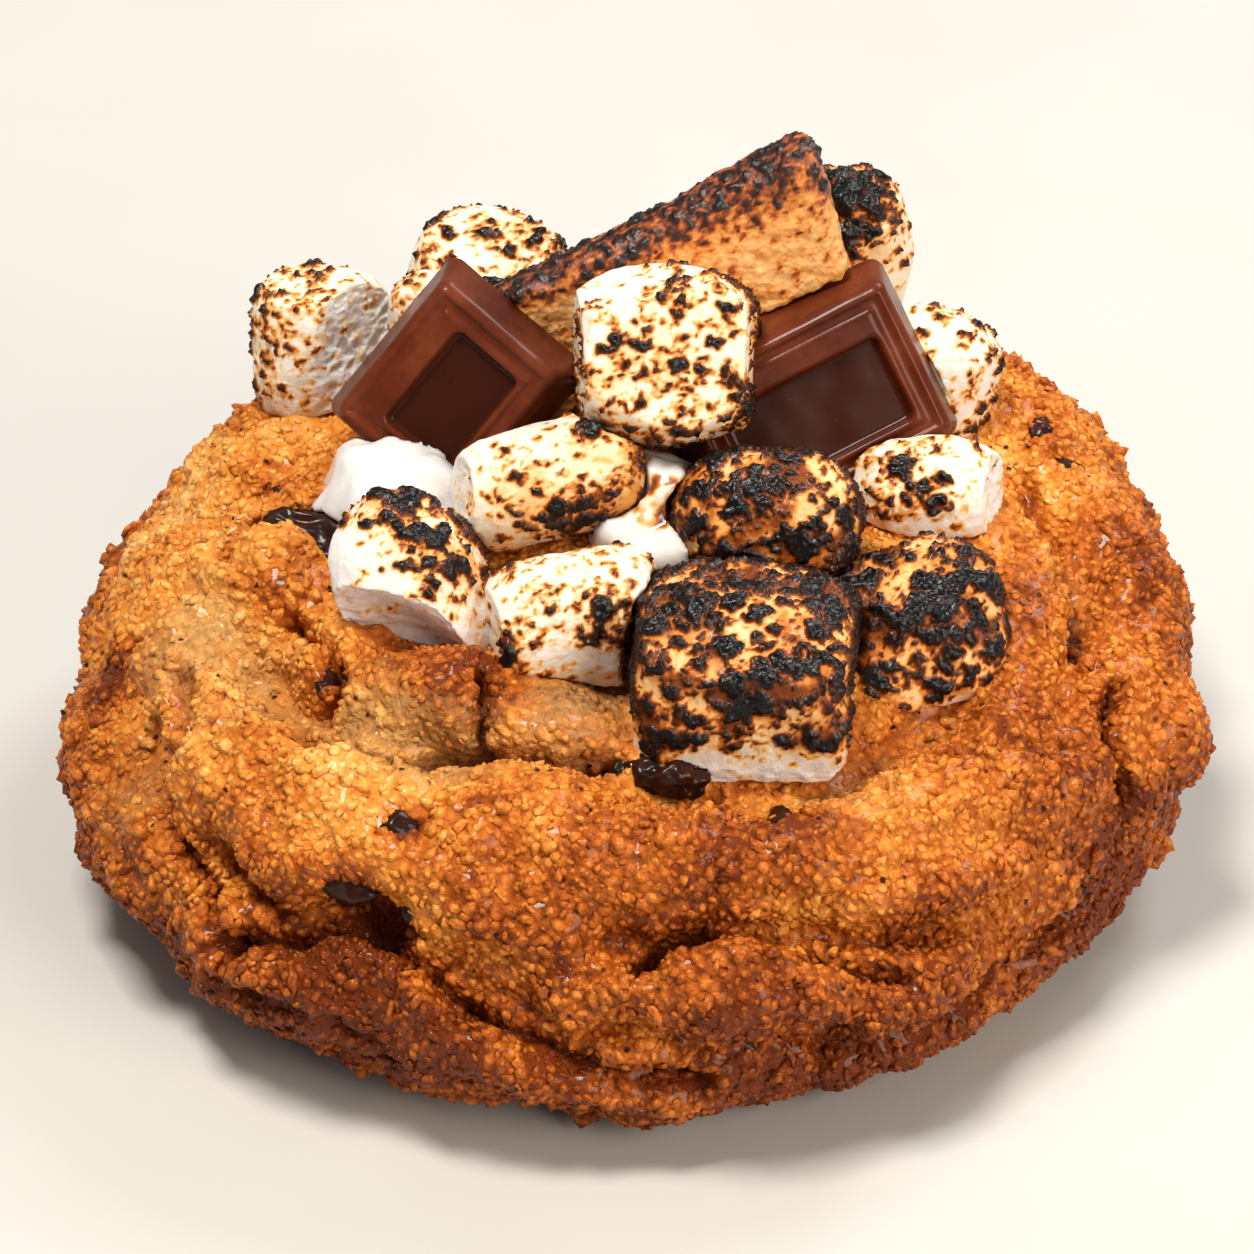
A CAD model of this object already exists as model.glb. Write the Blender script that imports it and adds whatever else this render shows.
import math

import bpy
import numpy as np
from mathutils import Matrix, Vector, noise
from mathutils.bvhtree import BVHTree


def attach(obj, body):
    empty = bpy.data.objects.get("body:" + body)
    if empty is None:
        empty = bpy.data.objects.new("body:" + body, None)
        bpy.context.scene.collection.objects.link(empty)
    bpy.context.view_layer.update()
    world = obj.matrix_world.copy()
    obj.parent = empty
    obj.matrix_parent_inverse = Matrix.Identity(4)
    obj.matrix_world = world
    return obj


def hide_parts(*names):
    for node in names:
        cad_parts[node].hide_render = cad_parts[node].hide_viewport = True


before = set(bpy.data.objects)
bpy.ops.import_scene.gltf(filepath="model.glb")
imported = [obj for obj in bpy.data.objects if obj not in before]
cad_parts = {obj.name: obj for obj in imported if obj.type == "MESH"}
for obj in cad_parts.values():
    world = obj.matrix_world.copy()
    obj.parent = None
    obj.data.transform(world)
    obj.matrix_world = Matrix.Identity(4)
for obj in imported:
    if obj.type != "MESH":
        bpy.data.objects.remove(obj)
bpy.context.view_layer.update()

# The cookie: one ball of soft brown-sugar dough that rose into lobes and folds and baked to a
# sandy, buttery crust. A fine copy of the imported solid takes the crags, pores and torn edges
# that the solid is too coarse for, and everything else rests on it.

MM = 0.001
COOKIE_FACE = 0.58
FOLD_DEEPENING = 0.8
FOLD_SPREAD_ROUNDS = 150
FOLD_REACH = (-0.8, 2.4)
CREASE_WOBBLE = 0.55
CREASE_WOBBLE_SIZE = 3.0
ROLL_SIZE = 7.5
ROLL_HEIGHT = 1.1
CRAG_SIZE = 3.6
CRAG_HEIGHT = 1.15
CRUMB_SIZE = 1.7
CRUMB_HEIGHT = 0.5
UNDERSIDE_FADE = (0.2, 3.0)
BROKEN_PATCH = 16
BAKE_PATCH = 15
BAKE_SPOT = 5
COOKIE_REACH = 52
COOKIE_HEIGHT = 36
GRAIN_ROOM = 0.35
JOINT_TONE = 0.44

# depth, half width, height of the lips on both sides, and points along the crease, in mm
CREASES = (
    (2.6, 1.6, 0.9, ((-35.8, -38.6, 14.6), (-29.7, -41.5, 17.5), (-25.2, -42.1, 19.6),
                     (-21.1, -44.7, 19.4), (-18.0, -46.8, 17.6), (-14.4, -48.9, 15.4),
                     (-5.2, -51.6, 11.6), (5.9, -51.3, 9.4))),
    (2.4, 1.4, 0.9, ((0.6, -49.8, 20.8), (2.8, -47.6, 21.1), (5.9, -46.9, 21.6),
                     (11.2, -46.5, 21.3), (17.8, -47.0, 18.8), (23.7, -46.6, 16.4))),
    (4.0, 1.5, 1.0, ((-37.7, -21.0, 29.0), (-33.8, -24.6, 29.3), (-30.0, -27.9, 29.4),
                     (-26.7, -30.8, 30.1), (-22.6, -32.7, 30.2), (-18.2, -31.8, 29.6),
                     (-14.8, -30.8, 29.9), (-11.9, -31.9, 30.1), (-6.5, -33.4, 30.1),
                     (-2.1, -32.5, 30.1))),
    (2.8, 1.3, 0.7, ((-13.9, -25.9, 33.7), (-13.4, -28.9, 32.0), (-13.2, -31.1, 30.1))),
    (2.2, 1.2, 0.7, ((-31.2, -13.1, 32.2), (-27.5, -19.0, 33.3), (-26.0, -24.6, 32.8),
                     (-27.3, -25.6, 30.2))),
    (2.0, 1.4, 0.6, ((-40.8, -17.6, 28.9), (-40.1, -24.7, 27.3), (-42.3, -25.4, 22.2),
                     (-40.1, -30.6, 19.3), (-35.3, -38.9, 14.9))),
    (1.5, 1.6, 0.5, ((36.6, 9.8, 32.6), (38.7, 4.0, 30.8), (40.3, -2.5, 30.2),
                     (41.4, -7.6, 28.6), (40.4, -12.5, 28.1))),
    (2.6, 1.4, 0.8, ((43.9, -16.6, 27.1), (42.5, -22.1, 25.4), (44.5, -23.1, 20.5),
                     (43.8, -23.7, 15.3))),
    (1.2, 2.0, 0.3, ((7.3, -34.6, 27.9), (12.1, -39.3, 29.4), (17.5, -36.0, 28.2),
                     (22.0, -34.2, 28.9))),
    (1.4, 1.5, 0.5, ((-36.3, -38.9, 11.5), (-29.8, -44.0, 12.6), (-22.6, -47.7, 11.0),
                     (-18.2, -45.9, 5.5))),
    (1.3, 1.6, 0.5, ((16.6, -48.3, 10.4), (23.8, -45.6, 10.5), (31.3, -38.8, 10.2),
                     (41.4, -27.6, 12.4))),
    (2.0, 1.4, 0.7, ((-37.4, -5.9, 34.2), (-34.3, -3.5, 35.9), (-29.9, -2.5, 36.4),
                     (-26.8, 0.8, 36.4))),
    (3.0, 1.6, 1.0, ((-34.0, 36.0, 22.0), (-20.0, 42.0, 25.0), (-6.0, 46.0, 22.0),
                     (10.0, 45.0, 25.0))),
    (2.8, 1.6, 1.0, ((18.0, 48.0, 14.0), (30.0, 40.0, 19.0), (41.0, 26.0, 24.0),
                     (46.0, 14.0, 22.0))),
    (2.6, 1.5, 0.9, ((-49.0, 10.0, 14.0), (-45.0, 22.0, 18.0), (-36.0, 34.0, 14.0),
                     (-28.0, 44.0, 9.0))),
    (2.2, 1.4, 0.8, ((-8.0, 51.0, 12.0), (3.0, 50.0, 16.0), (14.0, 50.0, 12.0),
                     (22.0, 46.0, 8.0))),
    (2.0, 1.3, 0.7, ((-24.0, 33.0, 31.0), (-12.0, 34.0, 32.0), (-2.0, 38.0, 30.0))),
)

# place in mm, radius, depth in mm, which is below 0 where the dough swells
DOUGH_HOLES = (
    ((-33.0, -9.5, 34.0), 8.0, -2.2),
    ((-18.0, -24.5, 34.5), 8.0, -2.3),
    ((-6.5, -28.5, 32.5), 7.5, -1.4),
    ((-26.0, -36.5, 29.0), 9.0, -1.0),
    ((-10.0, -40.5, 29.5), 10.0, -1.1),
    ((4.0, -43.5, 28.0), 9.0, -0.8),
    ((-28.8, -44.2, 13.9), 8.0, -0.9),
    ((9.4, -51.1, 17.5), 9.0, -1.2),
    ((27.0, -42.5, 19.5), 9.0, -0.8),
    ((34.0, -20.0, 29.5), 9.0, -1.0),
    ((47.0, -14.0, 21.0), 7.0, -0.8),
    ((45.5, 3.0, 27.0), 9.0, -0.8),
    ((-42.0, 8.0, 28.0), 9.0, -0.8),
    ((-46.0, -28.0, 14.0), 6.0, -1.0),
    ((-23.2, -42.0, 20.3), 4.2, 2.6),
    ((-18.5, -40.3, 29.5), 1.3, 1.6),
    ((-31.4, -12.9, 32.3), 1.6, 1.5),
    ((-13.7, -31.1, 29.8), 1.5, 1.4),
    ((-18.2, -30.4, 30.6), 3.2, 1.4),
    ((12.1, -37.7, 28.8), 3.4, 1.5),
    ((-43.3, -25.6, 21.2), 1.6, 1.4),
    ((-35.1, 4.9, 34.5), 1.4, 1.2),
    ((40.7, 12.0, 33.2), 2.4, 1.2),
    ((39.5, -6.6, 31.3), 2.2, 1.3),
    ((-14.4, -49.3, 15.1), 2.0, 1.5),
    ((-21.5, -43.4, 19.4), 3.0, 1.6),
    ((49.5, -15.5, 20.5), 6.5, -2.4),
    ((-47.0, -27.0, 19.0), 4.0, -1.2),
    ((-20.0, 47.0, 17.0), 9.0, -1.3),
    ((6.0, 40.0, 29.0), 9.0, -1.2),
    ((36.0, 36.0, 13.0), 9.0, -1.2),
    ((30.0, 30.0, 30.0), 8.0, -0.9),
    ((-44.0, 28.0, 10.0), 7.0, -1.1),
)

# place in mm, radius, how much browner, how much paler and moister
DOUGH_TONES = (
    ((-43.9, 9.1, 27.4), 13, -0.20, 0.35),
    ((-36.3, -6.3, 34.4), 8, -0.20, 0.45),
    ((-39.4, -20.3, 28.6), 10, -0.16, 0.45),
    ((-28.0, -16.0, 33.0), 7, -0.12, 0.35),
    ((-20.0, -31.5, 30.0), 6, 0.02, 0.55),
    ((-34.0, -25.0, 29.3), 5, -0.06, 0.45),
    ((-25.2, -36.0, 30.0), 9, -0.20, 0.0),
    ((-10.0, -38.9, 31.1), 7, -0.14, 0.0),
    ((37.5, 9.7, 32.6), 8, -0.16, 0.1),
    ((37.3, -14.3, 31.0), 7, -0.10, 0.0),
    ((-32.4, -10.4, 34.4), 5, 0.40, -0.3),
    ((-15.4, -25.2, 34.8), 6, 0.34, -0.2),
    ((5.9, -45.4, 28.3), 11, 0.16, -0.2),
    ((-8.2, -46.5, 25.8), 8, 0.10, 0.0),
    ((14.7, -41.8, 29.4), 6, 0.20, 0.0),
    ((47.5, 1.1, 29.4), 9, 0.16, 0.0),
    ((42.9, -25.0, 11.7), 12, 0.10, 0.0),
    ((-28.8, -44.2, 13.9), 9, 0.20, 0.0),
    ((9.4, -51.1, 20.5), 8, 0.10, -0.1),
    ((31.5, -21.8, 29.6), 8, 0.05, 0.0),
    ((36.6, -29.5, 26.3), 9, 0.05, 0.0),
    ((-18.2, -30.4, 30.6), 7, -0.05, 1.0),
    ((-25.4, -29.3, 30.1), 6, 0.0, 0.9),
    ((-22.0, -24.0, 33.0), 5, 0.0, 0.5),
    ((-6.5, -30.7, 31.7), 8, -0.05, 0.8),
    ((-3.0, -23.2, 31.8), 8, 0.10, 0.7),
    ((-40.6, -13.4, 30.4), 7, -0.05, 0.8),
    ((19.3, -35.4, 28.5), 7, 0.0, 0.6),
    ((10.0, -40.5, 29.5), 6, 0.0, 0.4),
    ((-45.5, -23.7, 19.8), 6, 0.0, 0.6),
    ((39.5, -6.6, 31.3), 5, 0.0, 0.6),
    ((-47.6, -10.8, 24.0), 4.5, 0.5, 0.0),
    ((-22.5, -43.0, 19.6), 4.0, 0.6, 0.0),
    ((-25.0, -41.5, 23.0), 3.2, 0.5, 0.0),
    ((-20.0, -40.5, 29.0), 2.4, 0.4, 0.0),
    ((-27.8, -23.1, 32.0), 2.2, 0.4, 0.0),
    ((-33.4, 4.9, 35.2), 2.2, 0.4, 0.0),
    ((40.0, 13.5, 33.5), 4.0, 0.4, 0.0),
)


def fine_copy(node, name, face, softening):
    """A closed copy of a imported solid, rounded off and remeshed in even faces of this size."""
    bpy.ops.object.select_all(action="DESELECT")
    piece = bpy.data.objects.new(name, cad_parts[node].data.copy())
    piece.data.name = name
    piece.data.materials.clear()
    bpy.context.scene.collection.objects.link(piece)
    bpy.context.view_layer.objects.active = piece
    piece.select_set(True)
    bpy.ops.object.mode_set(mode="EDIT")
    bpy.ops.mesh.select_all(action="SELECT")
    bpy.ops.mesh.remove_doubles(threshold=0.001 * MM)
    bpy.ops.object.mode_set(mode="OBJECT")
    rounding = piece.modifiers.new("rounding", "SUBSURF")
    rounding.levels = softening
    rounding.render_levels = softening
    bpy.ops.object.modifier_apply(modifier="rounding")
    remesh = piece.modifiers.new("remesh", "REMESH")
    remesh.mode = "VOXEL"
    remesh.voxel_size = face * MM
    bpy.ops.object.modifier_apply(modifier="remesh")
    bpy.ops.object.shade_smooth()
    return piece


def surface_of(piece):
    """The places of a piece's vertices, in millimetres, and their outward directions."""
    count = len(piece.data.vertices)
    places = np.empty(3 * count, np.float32)
    outward = np.empty(3 * count, np.float32)
    piece.data.vertices.foreach_get("co", places)
    piece.data.vertex_normals.foreach_get("vector", outward)
    return places.reshape(-1, 3).astype(float) / MM, outward.reshape(-1, 3).astype(float)


def reshape(piece, places):
    piece.data.vertices.foreach_set("co", (places * MM).astype(np.float32).ravel())
    piece.data.update()


def evened(piece, places, rounds):
    """The places after each has moved to the middle of its neighbours this many times."""
    ends = np.empty(2 * len(piece.data.edges), np.int32)
    piece.data.edges.foreach_get("vertices", ends)
    first, second = ends.reshape(-1, 2).T
    here = np.concatenate((first, second))
    there = np.concatenate((second, first))
    neighbours = np.bincount(here, minlength=len(places))[:, None]
    for _ in range(rounds):
        columns = [np.bincount(here, places[there, axis], len(places)) for axis in range(3)]
        places = np.stack(columns, axis=1) / neighbours
    return places


def step(low, high, values):
    """A soft step, from 0 where values are at low to 1 where they are at high."""
    share = np.clip((values - low) / (high - low), 0, 1)
    return share * share * (3 - 2 * share)


def rolling(places, size, octaves=3, shift=0.0):
    """Soft noise about 0, with lumps about this many millimetres apart."""
    spots = (places / size + shift).tolist()
    return np.array([noise.fractal(spot, 1.0, 2.0, octaves) for spot in spots])


def knobs(places, size, shift=0.0):
    """Packed round knobs of about this size: 1 on top of each, 0 in the joints."""
    spots = (places / size + shift).tolist()
    nearest = np.array([noise.voronoi(spot)[0][0] for spot in spots])
    return np.clip(1 - 1.25 * nearest**2, 0, 1)


def near(places, spot, radius):
    """1 at the spot, softly falling to 0 at the radius."""
    return step(radius, 0, np.linalg.norm(places - spot, axis=1))


def gap_to(places, line):
    """How far each place is from a line through these points."""
    corners = np.array(line)
    gap = np.full(len(places), 1e9)
    for start, end in zip(corners[:-1], corners[1:]):
        way = end - start
        share = np.clip((places - start) @ way / (way @ way), 0, 1)
        gap = np.minimum(gap, np.linalg.norm(places - start - share[:, None] * way, axis=1))
    return gap


def keep_values(piece, **values):
    """Stores a number for each vertex under each name, for the materials to read."""
    for name, numbers in values.items():
        layer = piece.data.attributes.new(name, "FLOAT", "POINT")
        layer.data.foreach_set("value", np.asarray(numbers, np.float32))


cookie = fine_copy("cookie", "cookie_crust", COOKIE_FACE, softening=2)
places, outward = surface_of(cookie)
fold = ((evened(cookie, places, FOLD_SPREAD_ROUNDS) - places) * outward).sum(axis=1)

# how far each point is lifted, in mm: rolls, crags and crumbs, then the creases and the holes
rim = step(0.62, 1.0, np.hypot(places[:, 0], places[:, 1]) / COOKIE_REACH)
broken = step(-0.25, 0.4, rolling(places, BROKEN_PATCH, shift=4.0))
rough = 0.3 + 0.7 * np.maximum(0.75 * broken, rim)
lift = ROLL_HEIGHT * rough * rolling(places, ROLL_SIZE)
lift += CRAG_HEIGHT * rough * (knobs(places, CRAG_SIZE) - 0.5)
lift += CRUMB_HEIGHT * (knobs(places, CRUMB_SIZE, shift=9.0) - 0.5)
lift -= FOLD_DEEPENING * np.clip(fold, *FOLD_REACH) + GRAIN_ROOM
wander = CREASE_WOBBLE * rolling(places, CREASE_WOBBLE_SIZE, shift=12.0)
creased = np.zeros(len(places))
for depth, half_width, lips, line in CREASES:
    gap = gap_to(places, line) + wander
    groove = step(half_width, 0, gap)
    creased = np.maximum(creased, groove)
    lift += lips * step(4 * half_width, 1.5 * half_width, gap) - (depth + lips) * groove
for spot, radius, depth in DOUGH_HOLES:
    lift -= depth * near(places, spot, radius)
places += outward * (lift * step(*UNDERSIDE_FADE, places[:, 2]))[:, None]
reshape(cookie, places)

# how brown and how moist each point is, from 0 to 1: most baked low down and in the creases
bake = 0.47 + 0.05 * places[:, 0] / COOKIE_REACH + 0.42 * (1 - places[:, 2] / COOKIE_HEIGHT)
bake += 0.22 * rolling(places, BAKE_PATCH, shift=2.0) + 0.14 * rolling(places, BAKE_SPOT, shift=6.0)
bake += 0.06 * np.clip(-fold, 0, 1) + 0.30 * creased
pale = 0.45 * step(0.25, 1.3, fold) * step(18, 28, places[:, 2])
for spot, radius, browning, paleness in DOUGH_TONES:
    closeness = near(places, spot, 1.4 * radius)
    bake += browning * closeness
    pale += paleness * closeness
bake = np.clip(bake, 0, 1)
pale = np.clip(pale, 0, 1)
keep_values(cookie, bake=bake, pale=pale, shade=np.full(len(places), JOINT_TONE))


def tint(code):
    """A colour from its six-figure code, as the linear values that a shader takes."""
    parts = [int(code[start:start + 2], 16) / 255 for start in (0, 2, 4)]
    light = [part / 12.92 if part < 0.04 else ((part + 0.055) / 1.055) ** 2.4 for part in parts]
    return (*light, 1)


class Finish:
    """A material being put together: its nodes, wired from left to right."""

    def __init__(self, name, roughness=0.5, **settings):
        self.material = bpy.data.materials.new(name)
        self.material.use_nodes = True
        self.nodes = self.material.node_tree.nodes
        self.shader = self.nodes["Principled BSDF"]
        self.shader.inputs["Roughness"].default_value = roughness
        for label, value in settings.items():
            socket = label.replace("_", " ").title().replace("Ior", "IOR")
            self.shader.inputs[socket].default_value = value
        self.place = self.nodes.new("ShaderNodeTexCoord").outputs["Object"]

    def wire(self, source, socket):
        self.material.node_tree.links.new(source, socket)

    def stored(self, name):
        node = self.nodes.new("ShaderNodeAttribute")
        node.attribute_name = name
        return node.outputs["Fac"]

    def speckle(self, size, detail=2.0):
        """Noise from 0 to 1 with lumps of this many millimetres."""
        node = self.nodes.new("ShaderNodeTexNoise")
        node.inputs["Scale"].default_value = 1 / (size * MM)
        node.inputs["Detail"].default_value = detail
        self.wire(self.place, node.inputs["Vector"])
        return node.outputs["Fac"]

    def cells(self, size):
        """How far the nearest of many scattered points is, with points this many millimetres apart."""
        node = self.nodes.new("ShaderNodeTexVoronoi")
        node.inputs["Scale"].default_value = 1 / (size * MM)
        self.wire(self.place, node.inputs["Vector"])
        return node.outputs["Distance"]

    def sum_of(self, value, other, share):
        """The value plus a share of the other one."""
        node = self.nodes.new("ShaderNodeMath")
        node.operation = "MULTIPLY_ADD"
        self.wire(other, node.inputs[0])
        node.inputs[1].default_value = share
        self.wire(value, node.inputs[2])
        return node.outputs[0]

    def product(self, value, other):
        node = self.nodes.new("ShaderNodeMath")
        node.operation = "MULTIPLY"
        self.wire(value, node.inputs[0])
        self.wire(other, node.inputs[1])
        return node.outputs[0]

    def between(self, value, low, high, start=0.0, end=1.0):
        """The value carried from low..high to start..end, and held there beyond them."""
        node = self.nodes.new("ShaderNodeMapRange")
        node.inputs["From Min"].default_value = low
        node.inputs["From Max"].default_value = high
        node.inputs["To Min"].default_value = start
        node.inputs["To Max"].default_value = end
        self.wire(value, node.inputs["Value"])
        return node.outputs["Result"]

    def ramp(self, value, stops):
        node = self.nodes.new("ShaderNodeValToRGB")
        elements = node.color_ramp.elements
        while len(elements) < len(stops):
            elements.new(0.5)
        for element, (position, code) in zip(elements, stops):
            element.position = position
            element.color = tint(code)
        self.wire(value, node.inputs["Fac"])
        return node.outputs["Color"]

    def blend(self, share, under, over):
        node = self.nodes.new("ShaderNodeMix")
        node.data_type = "RGBA"
        self.wire(share, node.inputs["Factor"])
        for socket, colour in ((node.inputs["A"], under), (node.inputs["B"], over)):
            if isinstance(colour, str):
                socket.default_value = tint(colour)
            else:
                self.wire(colour, socket)
        return node.outputs["Result"]

    def relief(self, height, depth):
        """Small relief of this depth in millimetres."""
        node = self.nodes.new("ShaderNodeBump")
        node.inputs["Distance"].default_value = depth * MM
        self.wire(height, node.inputs["Height"])
        self.wire(node.outputs["Normal"], self.shader.inputs["Normal"])

    def colour(self, source):
        self.wire(source, self.shader.inputs["Base Color"])

    def roughness(self, source):
        self.wire(source, self.shader.inputs["Roughness"])


def baked_crust():
    """Sandy brown-sugar crust: golden where it is thin, amber and red-brown where it baked most."""
    crust = Finish("baked_crust", subsurface_weight=0.08, subsurface_scale=1.0 * MM,
                   coat_weight=0.26, coat_roughness=0.14, specular_ior_level=0.08)
    crust.shader.inputs["Subsurface Radius"].default_value = (1.0, 0.45, 0.2)
    crumb = crust.speckle(0.9, 3)
    patches = crust.speckle(3.2, 2)
    browning = crust.sum_of(crust.stored("bake"), crumb, 0.34)
    browning = crust.sum_of(browning, patches, 0.22)
    browning = crust.sum_of(browning, crust.stored("shade"), 0.30)
    joints = crust.cells(1.05)
    browning = crust.sum_of(browning, joints, 0.34)
    browning = crust.between(browning, 0.44, 1.44)
    dough = crust.ramp(browning, (
        (0.0, "f9d79a"), (0.25, "eeb05e"), (0.5, "d98934"), (0.75, "b25c1a"), (1.0, "6c2c07")))
    moist = crust.ramp(crumb, ((0.3, "745630"), (0.7, "c59c60")))
    moistness = crust.sum_of(crust.stored("pale"), crust.speckle(2.0, 3), 1.0)
    moistness = crust.between(moistness, 0.75, 1.6, 0.0, 0.8)
    dough = crust.blend(moistness, dough, moist)
    pore = crust.between(crust.cells(1.9), 0.12, 0.2, 1.0, 0.0)
    pore = crust.product(pore, crust.between(patches, 0.5, 0.6))
    crust.colour(crust.blend(pore, dough, "2c140a"))
    crust.roughness(crust.between(crumb, 0.3, 0.7, 0.34, 0.58))
    domes = crust.between(joints, 0.0, 0.8, 1.0, 0.0)
    crust.relief(crust.sum_of(domes, crust.speckle(0.35, 1), 0.6), 0.32)
    return crust.material


crust_finish = baked_crust()
cookie.data.materials.append(crust_finish)
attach(cookie, "root")
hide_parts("cookie")

# The crumbs: the coarse sugar and crumb that the dough was rolled in, baked on as thousands of
# half-sunk grains. One grain is modelled and spread over the crust in three tones, and none lies
# under a topping, on the underside or in a deep hole.

GRAIN_SPACING = 0.74
GRAIN_RADII = (0.60, 0.47, 0.40)
GRAIN_WOBBLE = 0.40
GRAIN_SINK = 0.10
MOIST_SINK = 0.16
GRAIN_TONES = {"golden": -0.12, "amber": 0.02, "toffee": 0.18}
SHADE_SPREAD = 0.18
GRAIN_CLEARANCE = 0.3
GRAIN_LOWEST = 1.2
DEEP_HOLE = 1.45
SHUFFLE = np.random.default_rng(41)


def thinned(places, spacing):
    """Numbers of the places to keep, in a shuffled order, no two closer than the spacing."""
    cells = np.floor(places / spacing).astype(int)
    offsets = [(x, y, z) for x in (-1, 0, 1) for y in (-1, 0, 1) for z in (-1, 0, 1)]
    taken = {}
    kept = []
    for number in SHUFFLE.permutation(len(places)):
        x, y, z = cells[number]
        place = places[number]
        around = [taken.get((x + dx, y + dy, z + dz)) for dx, dy, dz in offsets]
        gaps = [place - other for other in around if other is not None]
        if all(gap @ gap >= spacing * spacing for gap in gaps):
            taken[(x, y, z)] = place
            kept.append(number)
    return np.array(kept)


def grain_template():
    """The corners and faces of one plain grain."""
    bpy.ops.object.select_all(action="DESELECT")
    bpy.ops.mesh.primitive_ico_sphere_add(subdivisions=1, radius=1)
    grain = bpy.context.object
    corners = np.array([vertex.co[:] for vertex in grain.data.vertices])
    faces = np.array([polygon.vertices[:] for polygon in grain.data.polygons])
    bpy.data.objects.remove(grain)
    return corners, faces


def spread_grains(name, centres, upward):
    """One piece made of many grains, each lying on the crust and turned its own way."""
    corners, faces = grain_template()
    count = len(centres)
    upward = upward + 0.3 * SHUFFLE.normal(size=(count, 3))
    upward /= np.linalg.norm(upward, axis=1)[:, None]
    side = np.cross(upward, SHUFFLE.normal(size=(count, 3)))
    side /= np.linalg.norm(side, axis=1)[:, None]
    turn = np.stack((side, np.cross(upward, side), upward), axis=1)
    size = np.array(GRAIN_RADII) * (0.72 + 0.85 * SHUFFLE.random((count, 1)) ** 2.5)
    size *= SHUFFLE.uniform(0.7, 1.35, (count, 3))
    uneven = SHUFFLE.uniform(1 - GRAIN_WOBBLE, 1 + GRAIN_WOBBLE, (count, len(corners), 1))
    shape = corners[None] * size[:, None] * uneven
    shape = np.einsum("nci,nij->ncj", shape, turn) + centres[:, None]
    mesh = bpy.data.meshes.new(name)
    numbers = faces[None] + len(corners) * np.arange(count)[:, None, None]
    mesh.from_pydata((shape.reshape(-1, 3) * MM).tolist(), [], numbers.reshape(-1, 3).tolist())
    mesh.shade_smooth()
    piece = bpy.data.objects.new(name, mesh)
    bpy.context.scene.collection.objects.link(piece)
    return piece


toppings = [item for node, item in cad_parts.items() if node != "cookie"]
topping_trees = [BVHTree.FromPolygons([vertex.co for vertex in item.data.vertices],
                                      [polygon.vertices for polygon in item.data.polygons])
                 for item in toppings]


def clear_of_toppings(place):
    spot = Vector(place) * MM
    return all(tree.find_nearest(spot, GRAIN_CLEARANCE * MM)[0] is None for tree in topping_trees)


places, outward = surface_of(cookie)
open_crust = places[:, 2] > GRAIN_LOWEST
for spot, radius, depth in DOUGH_HOLES:
    if depth > DEEP_HOLE:
        open_crust &= near(places, spot, radius) < 0.5
numbers = np.flatnonzero(open_crust)
numbers = numbers[thinned(places[numbers], GRAIN_SPACING)]
numbers = np.array([number for number in numbers if clear_of_toppings(places[number])])
groups = np.array_split(numbers, len(GRAIN_TONES))
for (tone, shade), group in zip(GRAIN_TONES.items(), groups):
    centres = places[group] - (GRAIN_SINK + MOIST_SINK * pale[group])[:, None] * outward[group]
    grains = spread_grains(f"sugar_grains_{tone}", centres, outward[group])
    shades = shade + SHUFFLE.uniform(-SHADE_SPREAD, SHADE_SPREAD, len(group))
    corner_count = len(grains.data.vertices) // len(group)
    keep_values(grains, bake=np.repeat(bake[group], corner_count),
                pale=np.repeat(0.8 * pale[group], corner_count),
                shade=np.repeat(shades, corner_count))
    grains.data.materials.append(crust_finish)
    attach(grains, "root")

# The marshmallows: small vanilla marshmallows set on the dough and finished with a flame, so that
# each has a soft white body, a golden skin where the heat reached it and raised black flakes
# where it burnt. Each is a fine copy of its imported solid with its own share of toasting.

MARSHMALLOW_FACE = 0.23
FLAKE_HEIGHT = 0.42
FLAKE_LUMP = 0.7
SKIN_SIZE = 2.4
SKIN_HEIGHT = 0.16
TEAR_SIZE = 2.0
TEAR_HEIGHT = 0.26
FLAME_DRIFT = 6
TOAST_PATCH = 4.0
FLATTENING = 0.92
FLAKES_LOOKED_AT = 3
FLAKE_WANDER = 0.48
SMALL_FLAKE = 0.55
FLAKE_SHIFT = Vector((31.0, 17.0, 5.0))
FLAKE_STRETCH = (0.85, 0.95, 1.3)

# share that is charred, side that faced the flame, where the toasting starts and is full along
# it from -1 to 1, size of the burnt flakes in mm, golden tone between them
TOASTING = {
    "front": (0.80, (-0.05, -0.1, 1.0), -0.66, -0.16, 1.55, 0.62),
    "centre": (0.44, (0.45, -0.6, -0.3), -1.3, 0.2, 1.45, 0.30),
    "front_right": (0.82, (0.1, -0.3, 0.9), -1.05, -0.35, 1.55, 0.62),
    "left": (0.68, (0.45, -0.1, 0.9), -0.15, 0.55, 1.55, 0.36),
    "front_left": (0.18, (0.45, -0.3, 0.5), -1.1, 0.8, 1.25, 0.12),
    "centre_left": (0.34, (0.75, -0.5, -0.15), -0.9, 0.8, 1.4, 0.46),
    "centre_right": (0.78, (0.0, -0.4, 0.8), -1.0, -0.25, 1.55, 0.62),
    "right": (0.24, (-0.45, -0.3, 0.8), -0.6, 0.7, 1.3, 0.20),
    "far_left": (0.38, (-0.75, -0.2, 0.55), -0.5, 0.8, 1.25, 0.12),
    "back_left": (0.44, (0.1, -0.5, 0.8), -0.8, 0.5, 1.45, 0.22),
    "back_small": (0.10, (-0.5, -0.4, 0.3), -0.8, 0.8, 1.2, 0.10),
    "back_right": (0.17, (-0.25, -0.1, 1.0), -0.9, 0.6, 1.3, 0.34),
    "far_right": (0.36, (0.0, -0.7, 0.3), -1.2, 0.3, 1.4, 0.08),
}
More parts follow.
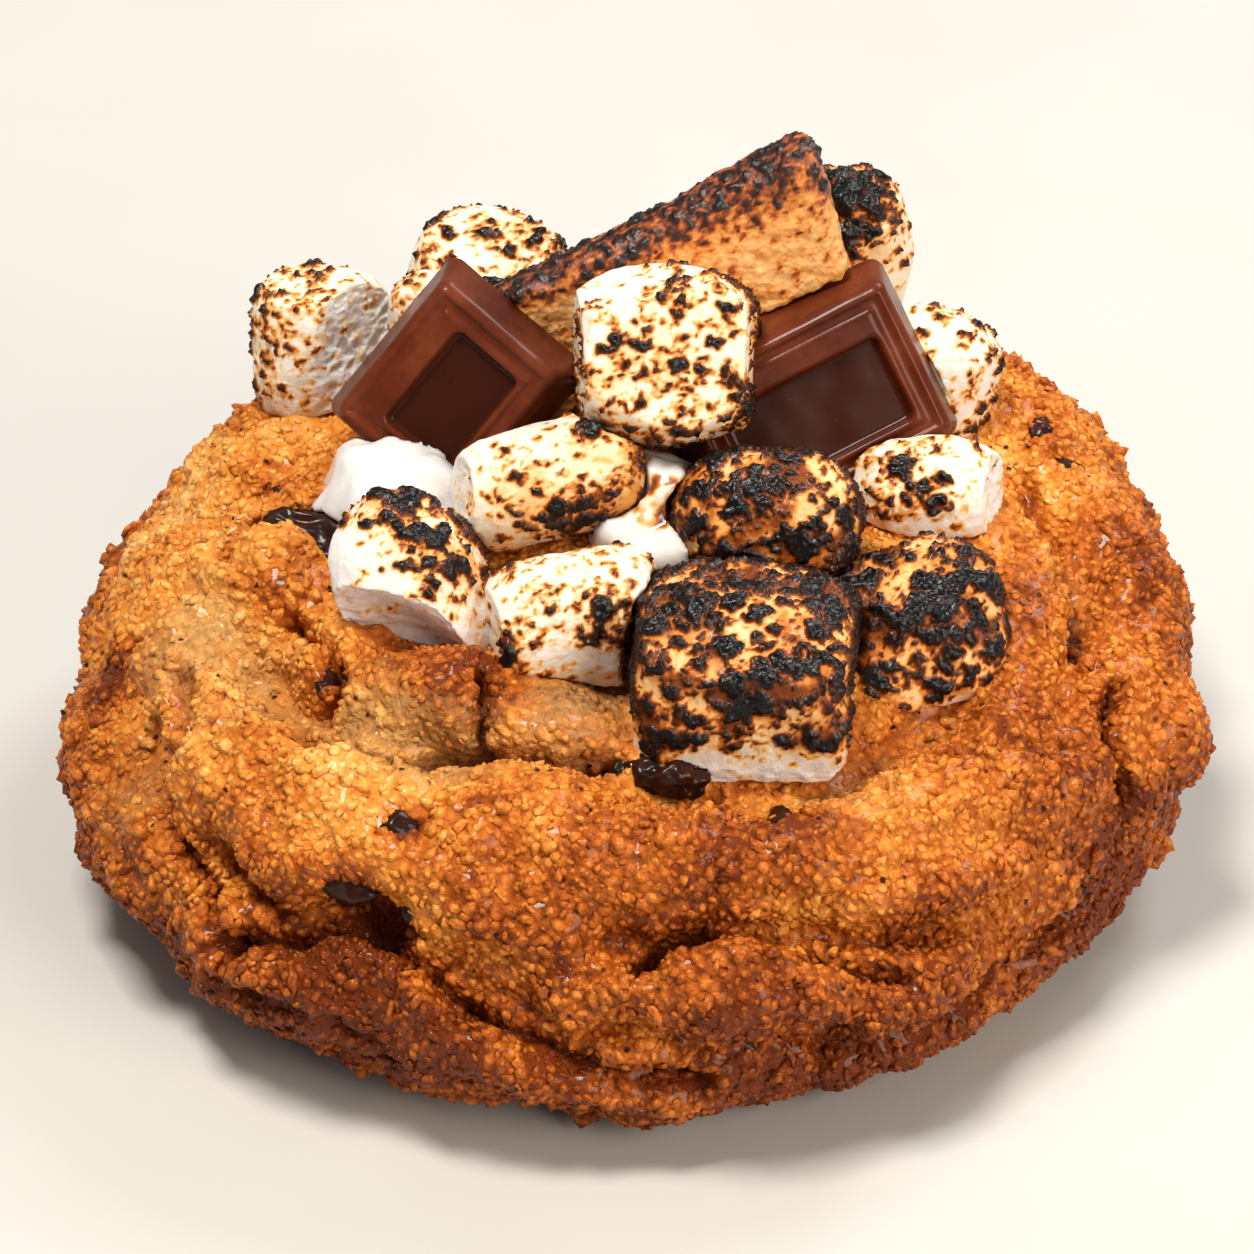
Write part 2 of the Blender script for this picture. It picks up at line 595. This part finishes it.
# side that is flat, its distance from the middle as a share, depth of the dish in it in mm
FLAT_SIDES = {
    "front": (((0.0, -0.55, 0.83), 0.80, 0.0), ((0.0, -0.25, -0.97), 0.84, 0.0),
              ((-1.0, 0.0, 0.1), 0.88, 0.0), ((1.0, -0.1, 0.0), 0.88, 0.0),
              ((0.0, -0.95, -0.2), 0.86, 0.0)),
    "centre": (((0.05, -0.80, 0.60), 0.74, 0.0), ((-0.2, 0.1, 0.97), 0.80, 0.0),
               ((1.0, -0.1, 0.0), 0.84, 0.0), ((-1.0, -0.1, 0.0), 0.82, 0.0),
               ((0.1, -0.4, -0.9), 0.82, 0.0)),
    "left": (((-0.26, -0.66, -0.70), 0.58, 1.7), ((0.2, -0.1, 1.0), 0.84, 0.0)),
    "far_left": (((0.72, -0.62, 0.25), 0.64, 0.5), ((-0.1, 0.0, 1.0), 0.80, 0.0)),
    "back_left": (((0.0, -0.35, 0.94), 0.76, 0.2),),
    "far_right": (((-0.2, -0.3, 0.93), 0.80, 0.0),),
    "right": (((0.95, -0.25, 0.10), 0.74, 0.4), ((0.0, -0.6, 0.8), 0.86, 0.0)),
    "centre_left": (((-0.92, -0.30, 0.20), 0.84, 0.3), ((0.0, -0.6, 0.8), 0.86, 0.0)),
    "front_left": (((-0.95, -0.3, 0.0), 0.86, 0.0),),
    "front_right": (((0.1, -0.6, 0.8), 0.84, 0.0),),
}
# how far the lower part sank and spread over the dough, in mm
SAGS = {
    "front": (0.0, -1.3, -1.7),
    "front_right": (0.3, -1.6, -2.0),
    "left": (0.5, -3.0, -1.3),
}
# side on which the inside shows, soft and crumpled
TORN_SIDES = {
    "left": (-0.20, -0.74, -0.64),
    "far_left": (0.72, -0.62, 0.25),
    "right": (0.9, -0.3, -0.3),
    "front_right": (-0.2, -0.6, -0.8),
    "front": (0.0, -0.5, -0.9),
}
# place in mm, radius and share of the single burnt spots
SCORCHES = {
    "centre": (((10.2, -4.1, 50.6), 4.6, 0.85), ((5.2, -7.0, 48.4), 3.2, 0.6),
               ((7.0, -6.0, 45.5), 3.0, 0.8)),
    "front_left": (((-2.5, -22.8, 39.6), 4.6, 1.05), ((-11.4, -24.4, 36.6), 3.8, 0.95),
                   ((-9.5, -21.5, 42.0), 2.2, 0.75)),
    "centre_left": (((-5.0, -10.6, 41.8), 5.6, 1.1), ((-0.8, -8.6, 44.5), 3.4, 0.8),
                    ((-3.9, -6.0, 48.6), 3.0, 1.1)),
    "right": (((27.4, -2.5, 39.3), 3.6, 0.95), ((24.7, -0.3, 41.2), 2.8, 0.95)),
    "left": (((-14.9, -17.2, 40.3), 3.0, 0.9),),
    "back_right": (((19.4, 25.0, 55.0), 9.0, 1.4), ((17.0, 24.0, 50.0), 5.0, 1.0)),
    "far_left": (((-34.0, 18.0, 45.5), 5.0, 0.5),),
}
# place in mm, radius, height and size of the lumps of a cap that burnt to coal
COAL = {"back_right": ((19.4, 25.0, 55.0), 7.5, 1.6, 2.5)}


def flattened(places, middle, sides):
    """Presses flat, slightly dished ends into a rounded body, as a cut marshmallow has."""
    for facing, share, dish in sides:
        facing = np.array(facing) / np.linalg.norm(facing)
        ahead = (places - middle) @ facing
        plane = share * ahead.max()
        beyond = np.maximum(ahead - plane, 0)
        aside = np.linalg.norm(places - middle - ahead[:, None] * facing, axis=1)
        sunk = FLATTENING * beyond + dish * step(0, 0.8, beyond) * step(0.8 * aside.max(), 0, aside)
        places = places - sunk[:, None] * facing
    return places


def luck_of(corners):
    """A number from 0 to 1 for each of these places, always the same for the same place."""
    return np.array([noise.cell(corner) for corner in corners]) % 1.0


def inside_flakes(places, size, cover, shift):
    """How far each place lies inside a burnt flake in mm, less than nothing outside them all."""
    spots = (places / size + shift).tolist()
    found = [noise.voronoi(spot) for spot in spots]
    inside = np.full(len(places), -2.0)
    for rank in range(FLAKES_LOOKED_AT):
        gaps = np.array([gaps[rank] for gaps, middles in found])
        middles = [middles[rank] for gaps, middles in found]
        luck = luck_of([middle + FLAKE_SHIFT for middle in middles])
        radius = (0.22 + 0.40 * cover) * (0.5 + 0.95 * luck)
        missing = np.maximum(luck_of(middles) - 1.2 * cover, 0)
        inside = np.maximum(inside, size * (radius - gaps - 3 * missing))
    return inside


def toast_marshmallow(piece, key, seed):
    """Burns the skin in raised flakes and stores how far each point is toasted, from 0 to 1."""
    share, flame, start, full, mark, golden = TOASTING[key]
    places, outward = surface_of(piece)
    middle = (places.min(axis=0) + places.max(axis=0)) / 2
    places = flattened(places, middle, FLAT_SIDES.get(key, ()))
    low = step(0.3, -0.8, (places[:, 2] - middle[2]) / (places[:, 2].max() - middle[2]))
    places = places + low[:, None] * SAGS.get(key, (0.0, 0.0, 0.0))
    reshape(piece, places)
    places, outward = surface_of(piece)
    across = (places - middle) / ((places.max(axis=0) - places.min(axis=0)) / 2)
    flame = np.array(flame) / np.linalg.norm(flame)
    heat = step(start, full, across @ flame + 0.3 * rolling(places, FLAME_DRIFT, 2, shift=seed))
    patches = step(-0.45, 0.45, rolling(places, TOAST_PATCH, 3, shift=seed + 3))
    cover = heat * (share + 0.34 * (patches - 0.5))
    torn = np.zeros(len(places))
    if key in TORN_SIDES:
        side = np.array(TORN_SIDES[key]) / np.linalg.norm(TORN_SIDES[key])
        torn = step(0.35, 0.75, outward @ side) * (1 - 0.8 * heat)
    cover *= 1 - torn
    for spot, radius, burnt in SCORCHES.get(key, ()):
        cover = np.maximum(cover, burnt * near(places, spot, radius) ** 0.7)
    wander = np.stack([rolling(places, 0.9 * mark, 3, seed + add) for add in (11, 23, 37)], axis=1)
    warped = (places + FLAKE_WANDER * mark * wander) * FLAKE_STRETCH
    char = np.maximum(inside_flakes(warped, mark, cover, seed + 5),
                      inside_flakes(warped, SMALL_FLAKE * mark, 0.6 * cover, seed + 9))
    skin = golden * heat ** 0.8 * (0.50 + 0.42 * patches) * (1 - torn) + 0.08 * step(0.1, 0.9, cover)
    burnt = np.where(char > 0, 0.63 + 1.0 * char, 0.63 + (0.95 + 0.6 * cover) * char)
    tone = np.clip(np.maximum(skin, burnt), 0, 1)
    flake = step(-0.06, 0.26, char)
    lift = FLAKE_HEIGHT * flake * (0.5 + 0.9 * knobs(places, FLAKE_LUMP, shift=seed))
    lift += SKIN_HEIGHT * rolling(places, SKIN_SIZE, 3, shift=seed + 1)
    creases = 0.4 - 2 * np.abs(rolling(places * (1, 1, 1.7), TEAR_SIZE, 3, shift=seed + 2))
    lift += TEAR_HEIGHT * torn * creases
    if key in COAL:
        spot, radius, height, lump = COAL[key]
        lift += height * near(places, spot, radius) ** 0.5 * (knobs(warped, lump, shift=seed + 6) - 0.3)
    reshape(piece, places + outward * lift[:, None])
    keep_values(piece, toast=tone, flake=flake)


def toasted_sugar():
    """Marshmallow skin: matt white foam, then cream, gold, caramel brown and glossy black char."""
    skin = Finish("toasted_marshmallow", subsurface_weight=0.20, subsurface_scale=1.4 * MM,
                  coat_weight=0.16, coat_roughness=0.12, specular_ior_level=0.2)
    skin.shader.inputs["Subsurface Radius"].default_value = (1.0, 0.75, 0.55)
    toast = skin.sum_of(skin.stored("toast"), skin.speckle(0.4, 3), 0.12)
    toast = skin.sum_of(toast, skin.speckle(1.6, 2), 0.08)
    toast = skin.between(toast, 0.11, 1.10)
    skin.colour(skin.ramp(toast, (
        (0.0, "e5e3e1"), (0.16, "eae0cf"), (0.30, "eacfa4"), (0.42, "e4a95f"), (0.52, "c6762c"),
        (0.61, "85400e"), (0.70, "4c230c"), (0.84, "1c0f0b"), (1.0, "0a0a0d"))))
    skin.roughness(skin.between(toast, 0.3, 0.75, 0.62, 0.27))
    charred = skin.product(skin.cells(0.5), skin.stored("flake"))
    skin.relief(skin.sum_of(skin.speckle(0.35, 3), charred, 1.2), 0.10)
    return skin.material


marshmallow_finish = toasted_sugar()
for seed, key in enumerate(TOASTING):
    node = f"marshmallow_{key}"
    marshmallow = fine_copy(node, f"toasted_{node}", MARSHMALLOW_FACE, softening=1)
    toast_marshmallow(marshmallow, key, seed * 3.7)
    marshmallow.data.materials.append(marshmallow_finish)
    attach(marshmallow, "root")
    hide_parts(node)

# The melted marshmallow: pools that ran between the toppings and set, smooth and glossy, with one
# caramel spot where the flame touched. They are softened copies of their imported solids.

MELTED_FACE = 0.35
FLOW_SIZE = 3.6
FLOW_HEIGHT = 0.55
CARAMEL_SPOT = ((2.2, -9.0, 43.0), 4.0)


def melted_sugar():
    """Wet, set marshmallow: white, a little translucent, with caramel where it browned."""
    syrup = Finish("melted_marshmallow", roughness=0.28, subsurface_weight=0.25,
                   subsurface_scale=2.0 * MM, coat_weight=0.35, coat_roughness=0.12)
    syrup.shader.inputs["Subsurface Radius"].default_value = (1.0, 0.8, 0.6)
    toast = syrup.sum_of(syrup.stored("toast"), syrup.speckle(0.9, 3), 0.3)
    syrup.colour(syrup.ramp(syrup.between(toast, 0.2, 1.1), (
        (0.0, "dfdddb"), (0.3, "e6dac4"), (0.5, "deaa66"), (0.7, "ab6220"), (1.0, "6e3410"))))
    syrup.relief(syrup.speckle(1.2, 3), 0.12)
    return syrup.material


melted_finish = melted_sugar()
for seed, side in enumerate(("left", "middle")):
    pool = fine_copy(f"melted_{side}", f"melted_pool_{side}", MELTED_FACE, softening=2)
    places, outward = surface_of(pool)
    flow = FLOW_HEIGHT * rolling(places * (1, 1, 0.5), FLOW_SIZE, 2, shift=seed * 5.0)
    spot, radius = CARAMEL_SPOT
    stain = step(0, 0.5, near(places, spot, radius)) * (0.7 + 0.8 * rolling(places, 2.0, 3))
    reshape(pool, places + outward * (flow - 0.4 * np.clip(stain, 0, 1))[:, None])
    keep_values(pool, toast=np.clip(stain, 0, 1))
    pool.data.materials.append(melted_finish)
    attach(pool, "root")
    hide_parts(f"melted_{side}")

# The chocolate squares: two moulded squares snapped from a bar and pressed in while the dough was
# warm. Each has tapered sides, a rounded rim, a shallow moulded groove and a sunk panel with
# round corners, and its edges have begun to soften.

# top corner in mm, the two sides from it, and how far in from each of the four sides the panel
# starts
SQUARES = {
    "left": ((-17.7, 9.2, 57.6), (12.8, -6.8, -8.7), (-12.0, -4.7, -14.3), ((4.4, 2.8), (2.8, 2.8))),
    "right": ((23.8, 12.2, 55.6), (-22.1, -8.0, -8.3), (7.9, -6.5, -15.4), ((2.8, 2.8), (4.8, 2.8))),
}
SQUARE_THICKNESS = 6.0
SQUARE_TAPER = 1.5
RIM_ROUND = 1.1
CORNER_ROUND = 1.3
GROOVE_PLACE = 1.75
GROOVE_WIDTH = 0.65
GROOVE_DEPTH = 0.35
PANEL_SLOPE = 0.9
PANEL_DEPTH = 1.0
SQUARE_CUTS = 70
SOFTENING_SIZE = 5.0
SOFTENING_HEIGHT = 0.09


def inside_block(flat, middle, half):
    """How far each point lies inside a block with round corners, in mm."""
    inset = half - CORNER_ROUND - np.abs(flat - middle)
    outside = np.linalg.norm(np.minimum(inset, 0), axis=1)
    return CORNER_ROUND + np.where(outside > 0, -outside, inset.min(axis=1))


def moulded(places, half, margins):
    """The points of a plain block carried onto the moulded square, and each one's panel share."""
    places = np.sign(places) * half * (1 - (1 - np.abs(places) / half) ** 1.5)
    flat = places[:, :2]
    core = np.clip(flat, CORNER_ROUND - half[:2], half[:2] - CORNER_ROUND)
    over = flat - core
    reach = np.linalg.norm(over, axis=1)
    squeeze = np.where(reach > 1e-6, np.abs(over).max(axis=1) / np.maximum(reach, 1e-6), 1)
    flat = core + over * squeeze[:, None]
    depth_in = np.maximum(inside_block(flat, 0, half[:2]), 0)
    on_face = places[:, 2] > half[2] - 1e-4
    round_in = np.clip(depth_in, 0, RIM_ROUND)
    face = half[2] - RIM_ROUND + np.sqrt(np.maximum(RIM_ROUND**2 - (RIM_ROUND - round_in) ** 2, 0))
    face -= GROOVE_DEPTH * np.exp(-(((depth_in - GROOVE_PLACE) / GROOVE_WIDTH) ** 4))
    first, last = np.array(margins).T
    panel = step(0, PANEL_SLOPE, inside_block(flat, (first - last) / 2, half[:2] - (first + last) / 2))
    face -= PANEL_DEPTH * panel
    side = -half[2] + (places[:, 2] + half[2]) * (1 - RIM_ROUND / (2 * half[2]))
    height = np.where(on_face, face, side)
    taper = 1 - (SQUARE_TAPER / half[:2]) * ((height + half[2]) / (2 * half[2]))[:, None]
    return np.column_stack((flat * taper, height)), np.where(on_face, panel, 0)


def glossy_chocolate():
    """Milk chocolate: mid brown, glossy where it softened and dustier along the edges."""
    gloss = Finish("moulded_chocolate", coat_weight=0.16, coat_roughness=0.10, specular_ior_level=0.10)
    brown = gloss.ramp(gloss.sum_of(gloss.speckle(7, 2), gloss.speckle(0.9, 3), 0.25), (
        (0.35, "401809"), (0.6, "582410"), (0.85, "70361e")))
    brown = gloss.blend(gloss.stored("sunk"), brown, "341206")
    speck = gloss.between(gloss.cells(0.9), 0.06, 0.12, 0.5, 0.0)
    speck = gloss.product(speck, gloss.between(gloss.speckle(3), 0.55, 0.65))
    gloss.colour(gloss.blend(speck, brown, "8a5a40"))
    gloss.roughness(gloss.between(gloss.speckle(3.5, 3), 0.3, 0.7, 0.28, 0.42))
    gloss.relief(gloss.sum_of(gloss.speckle(5.0, 2), gloss.speckle(0.35, 2), 0.05), 0.06)
    return gloss.material


chocolate_finish = glossy_chocolate()
for seed, (side, (corner, across, down, margins)) in enumerate(SQUARES.items()):
    across = Vector(across)
    down = Vector(down)
    down -= across * (down.dot(across) / across.length_squared)
    front = across.cross(down).normalized()
    front = front if front.y < 0 else -front
    middle = Vector(corner) + (across + down - front * SQUARE_THICKNESS) / 2
    half = np.array((across.length, down.length, SQUARE_THICKNESS)) / 2
    bpy.ops.object.select_all(action="DESELECT")
    bpy.ops.mesh.primitive_cube_add(size=2)
    square = bpy.context.object
    square.name = f"chocolate_square_{side}"
    square.data.name = square.name
    bpy.ops.object.mode_set(mode="EDIT")
    bpy.ops.mesh.subdivide(number_cuts=SQUARE_CUTS)
    bpy.ops.object.mode_set(mode="OBJECT")
    bpy.ops.object.shade_smooth()
    places, outward = surface_of(square)
    places, sunk = moulded(places * MM * half, half, margins)
    sideways = across.normalized()
    turn = np.array((sideways, front.cross(sideways), front))
    places = places @ turn + np.array(middle)
    reshape(square, places)
    places, outward = surface_of(square)
    softened = SOFTENING_HEIGHT * rolling(places, SOFTENING_SIZE, 2, shift=seed * 4.0)
    reshape(square, places + outward * softened[:, None])
    keep_values(square, sunk=sunk)
    square.data.materials.append(chocolate_finish)
    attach(square, "root")
    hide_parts(f"chocolate_{side}")

# The dark chocolate: two chunks that slumped over the dough, wet and folded, and the chips that
# show through the crust as small dark lumps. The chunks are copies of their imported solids, and
# each chip is a small ball pressed flat into the dough.

CHUNK_FACE = 0.25
CHUNK_FOLD_SIZE = 2.2
CHUNK_FOLD_HEIGHT = 0.6
# end that was drawn out while it was soft, its reach, and how far it was drawn, in mm
DRAWN_ENDS = {
    "left": ((-31.5, -5.0, 37.5), 6.0, (-3.4, 1.6, 0.8)),
    "front": ((-1.0, -35.5, 31.5), 6.0, (-0.5, 1.2, -1.0)),
}
CHIP_LUMP = 0.9
CHIP_SINK = 0.55
# place in mm, radii along, across and out of the crust
CHIPS = (
    ((-27.8, -23.1, 32.0), (1.7, 1.2, 0.9)),
    ((-20.6, -40.2, 29.0), (1.9, 1.4, 0.9)),
    ((-25.6, -41.2, 23.6), (3.0, 1.9, 1.3)),
    ((-22.6, -42.4, 20.6), (3.4, 2.0, 1.4)),
    ((-33.4, 4.9, 35.2), (1.1, 0.8, 0.8)),
    ((40.7, 12.0, 33.2), (3.2, 1.4, 1.0)),
    ((39.2, 15.9, 34.3), (1.8, 1.2, 1.0)),
    ((12.1, -37.7, 28.0), (2.8, 1.6, 1.0)),
    ((40.4, -29.2, 12.0), (2.2, 1.0, 0.8)),
    ((-26.0, 41.0, 22.0), (2.4, 1.6, 1.0)),
    ((16.0, 44.0, 24.0), (2.0, 1.4, 0.9)),
    ((38.0, 33.0, 17.0), (2.6, 1.5, 1.0)),
    ((-45.5, 22.0, 16.0), (2.0, 1.3, 0.9)),
)


def dark_chocolate():
    """Melted dark chocolate: nearly black brown with a wet shine."""
    dark = Finish("dark_chocolate", roughness=0.38, coat_weight=0.24, coat_roughness=0.12,
                  specular_ior_level=0.1)
    dark.colour(dark.ramp(dark.speckle(1.6, 3), ((0.3, "180904"), (0.6, "2e1208"), (0.8, "451e10"))))
    dark.relief(dark.speckle(0.6, 3), 0.10)
    return dark.material


dark_finish = dark_chocolate()
for seed, side in enumerate(("left", "front")):
    chunk = fine_copy(f"chocolate_chunk_{side}", f"dark_chunk_{side}", CHUNK_FACE, softening=1)
    places, outward = surface_of(chunk)
    folds = 0.5 - np.abs(rolling(places, CHUNK_FOLD_SIZE, 3, shift=seed * 3.0 + 1)) * 1.6
    end, reach, drawn = DRAWN_ENDS[side]
    places = places + near(places, end, reach)[:, None] * drawn
    reshape(chunk, places + outward * (CHUNK_FOLD_HEIGHT * folds)[:, None])
    chunk.data.materials.append(dark_finish)
    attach(chunk, "root")
    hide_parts(f"chocolate_chunk_{side}")

crust_tree = BVHTree.FromObject(cookie, bpy.context.evaluated_depsgraph_get())
for number, (spot, radii) in enumerate(CHIPS):
    foot, upward, _, _ = crust_tree.find_nearest(Vector(spot) * MM)
    bpy.ops.object.select_all(action="DESELECT")
    bpy.ops.mesh.primitive_ico_sphere_add(subdivisions=4, radius=1)
    chip = bpy.context.object
    chip.name = f"chocolate_chip_{number + 1}"
    chip.data.name = chip.name
    bpy.ops.object.shade_smooth()
    places, outward = surface_of(chip)
    sideways = upward.cross(Vector((0, 0, 1))).normalized()
    turn = np.array((sideways, upward.cross(sideways), upward))
    ball = places * MM
    ball *= 1 + 0.28 * rolling(ball + number, CHIP_LUMP, 3)[:, None]
    sunk = np.array(foot) / MM - CHIP_SINK * radii[2] * np.array(upward)
    reshape(chip, (ball * np.array(radii)) @ turn + sunk)
    chip.data.materials.append(dark_finish)
    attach(chip, "root")

# The graham cracker: a thick broken piece stood up behind the squares. Its face is an open, sandy
# crumb, and the flame burnt its upper edge to a rough black-brown crust.

CRACKER_CORNER = (15.2, 20.0, 65.0)
CRACKER_ACROSS = (-31.5, -4.0, -15.8)
CRACKER_DOWN = (8.2, -1.6, -22.6)
CRACKER_FACE = 0.28
# height of the burnt band at the two ends of the upper edge, in mm
BURNT_BAND = (6.2, 1.7)
CHAR_HEIGHT = 0.24
# how far the upper corner is drawn out, and its reach, in mm
TIP_DRAWN = (1.3, 0.0, 1.4)
TIP_REACH = 18.0
CRACKER_CRUMB_SIZE = 1.3
CRACKER_CRUMB_HEIGHT = 0.30
CRACKER_WARP_SIZE = 4.0
CRACKER_WARP_HEIGHT = 0.12
CRACKER_FLAKES = (1.2, 0.6)


def cracker_crumb():
    """Baked wholemeal crumb: pale tan and sandy, toasted orange, then charred near the top."""
    crumb = Finish("graham_crumb", roughness=0.6, subsurface_weight=0.08, subsurface_scale=0.8 * MM,
                   coat_weight=0.12, coat_roughness=0.3)
    crumb.shader.inputs["Subsurface Radius"].default_value = (1.0, 0.5, 0.25)
    toast = crumb.sum_of(crumb.stored("toast"), crumb.speckle(0.7, 3), 0.42)
    toast = crumb.sum_of(toast, crumb.speckle(2.4, 2), 0.20)
    toast = crumb.between(toast, 0.24, 1.24)
    crumb.colour(crumb.ramp(toast, (
        (0.0, "f1c488"), (0.22, "e8a95e"), (0.40, "d68434"), (0.54, "9e4e19"), (0.66, "58240f"),
        (0.78, "2a110d"), (1.0, "140d0c"))))
    crumb.roughness(crumb.between(toast, 0.5, 0.8, 0.58, 0.36))
    crumb.relief(crumb.sum_of(crumb.cells(0.7), crumb.speckle(0.35, 3), 0.7), 0.14)
    return crumb.material


cracker = fine_copy("graham_cracker", "graham_piece", CRACKER_FACE, softening=1)
places, outward = surface_of(cracker)
across = np.array(CRACKER_ACROSS)
down = np.array(CRACKER_DOWN)
down = down - across * (down @ across) / (across @ across)
places = places + near(places, CRACKER_CORNER, TIP_REACH)[:, None] * TIP_DRAWN
from_corner = places - CRACKER_CORNER
along = from_corner @ across / (across @ across)
below = from_corner @ down / np.linalg.norm(down)
band = BURNT_BAND[0] + (BURNT_BAND[1] - BURNT_BAND[0]) * along
heat = step(1.15, 0.0, below / band)
heat = np.maximum(heat, 0.7 * step(1.6, 0.0, along * np.linalg.norm(across)) * step(12, 3, below))
cover = np.clip(0.90 * heat + 0.10 * rolling(places, 3.0, 2, shift=4.0), 0, 1)
wander = np.stack([rolling(places, 1.0, 2, add) for add in (11, 23, 37)], axis=1)
large, small = CRACKER_FLAKES
char = np.maximum(inside_flakes(places + 0.45 * wander, large, 0.8 * cover, 5.0),
                  inside_flakes(places + 0.4 * wander, small, 0.6 * cover, 9.0))
tone = np.clip(np.maximum(0.10 + 0.36 * heat + 0.12 * rolling(places, 6, 2), 0.62 + 1.0 * char), 0, 1)
flake = step(-0.02, 0.30, char)
lift = CHAR_HEIGHT * flake * (0.4 + 0.8 * knobs(places, FLAKE_LUMP, shift=2.0))
lift += CRACKER_CRUMB_HEIGHT * (knobs(places, CRACKER_CRUMB_SIZE, shift=5.0) - 0.6)
lift += CRACKER_WARP_HEIGHT * rolling(places, CRACKER_WARP_SIZE, 3, shift=8.0)
reshape(cracker, places + outward * lift[:, None])
keep_values(cracker, toast=tone)
cracker.data.materials.append(cracker_crumb())
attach(cracker, "root")
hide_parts("graham_cracker")

# The photograph's set: a plain pale floor that curves out of sight, one large soft light from the
# upper left, a weaker one from the right and one from behind, and the camera at 35 degrees.

CAMERA_TARGET = (-0.00055, 0.0, 0.0225)
CAMERA_DISTANCE = 0.6
CAMERA_RISE = math.radians(35)
CAMERA_LENS = 182.9
LIGHTS = {
    "key": ((-0.17, -0.10, 0.78), 0.22, 7.0, "fff8ee"),
    "fill": ((0.52, -0.55, 0.42), 0.45, 5.4, "fff0df"),
    "back": ((0.34, 0.42, 0.56), 0.30, 2.8, "ffffff"),
}

bpy.ops.object.select_all(action="DESELECT")
bpy.ops.mesh.primitive_plane_add(size=6, location=(0, 0, 0))
floor = bpy.context.object
floor.name = "studio_floor"
paper = Finish("studio_paper", roughness=0.85)
paper.colour(paper.ramp(paper.speckle(40, 2), ((0.3, "c2c1be"), (0.7, "c6c5c2"))))
floor.data.materials.append(paper.material)

for name, (place, size, power, colour) in LIGHTS.items():
    lamp = bpy.data.lights.new(name, "AREA")
    lamp.size = size
    lamp.energy = power
    lamp.color = tint(colour)[:3]
    holder = bpy.data.objects.new(name, lamp)
    bpy.context.scene.collection.objects.link(holder)
    holder.location = place
    aim = Vector((0, 0, 0.03)) - Vector(place)
    holder.rotation_euler = aim.to_track_quat("-Z", "Y").to_euler()

studio = bpy.data.worlds.new("studio")
studio.use_nodes = True
studio.node_tree.nodes["Background"].inputs["Color"].default_value = tint("f4f2ee")
studio.node_tree.nodes["Background"].inputs["Strength"].default_value = 0.26
bpy.context.scene.world = studio
bpy.context.scene.view_settings.view_transform = "Standard"

camera = bpy.data.objects.new("photo_camera", bpy.data.cameras.new("photo_camera"))
bpy.context.scene.collection.objects.link(camera)
camera.data.lens = CAMERA_LENS
away = Vector((0, -math.cos(CAMERA_RISE), math.sin(CAMERA_RISE)))
camera.location = Vector(CAMERA_TARGET) + CAMERA_DISTANCE * away
camera.rotation_euler = (math.pi / 2 - CAMERA_RISE, 0, 0)
bpy.context.scene.camera = camera
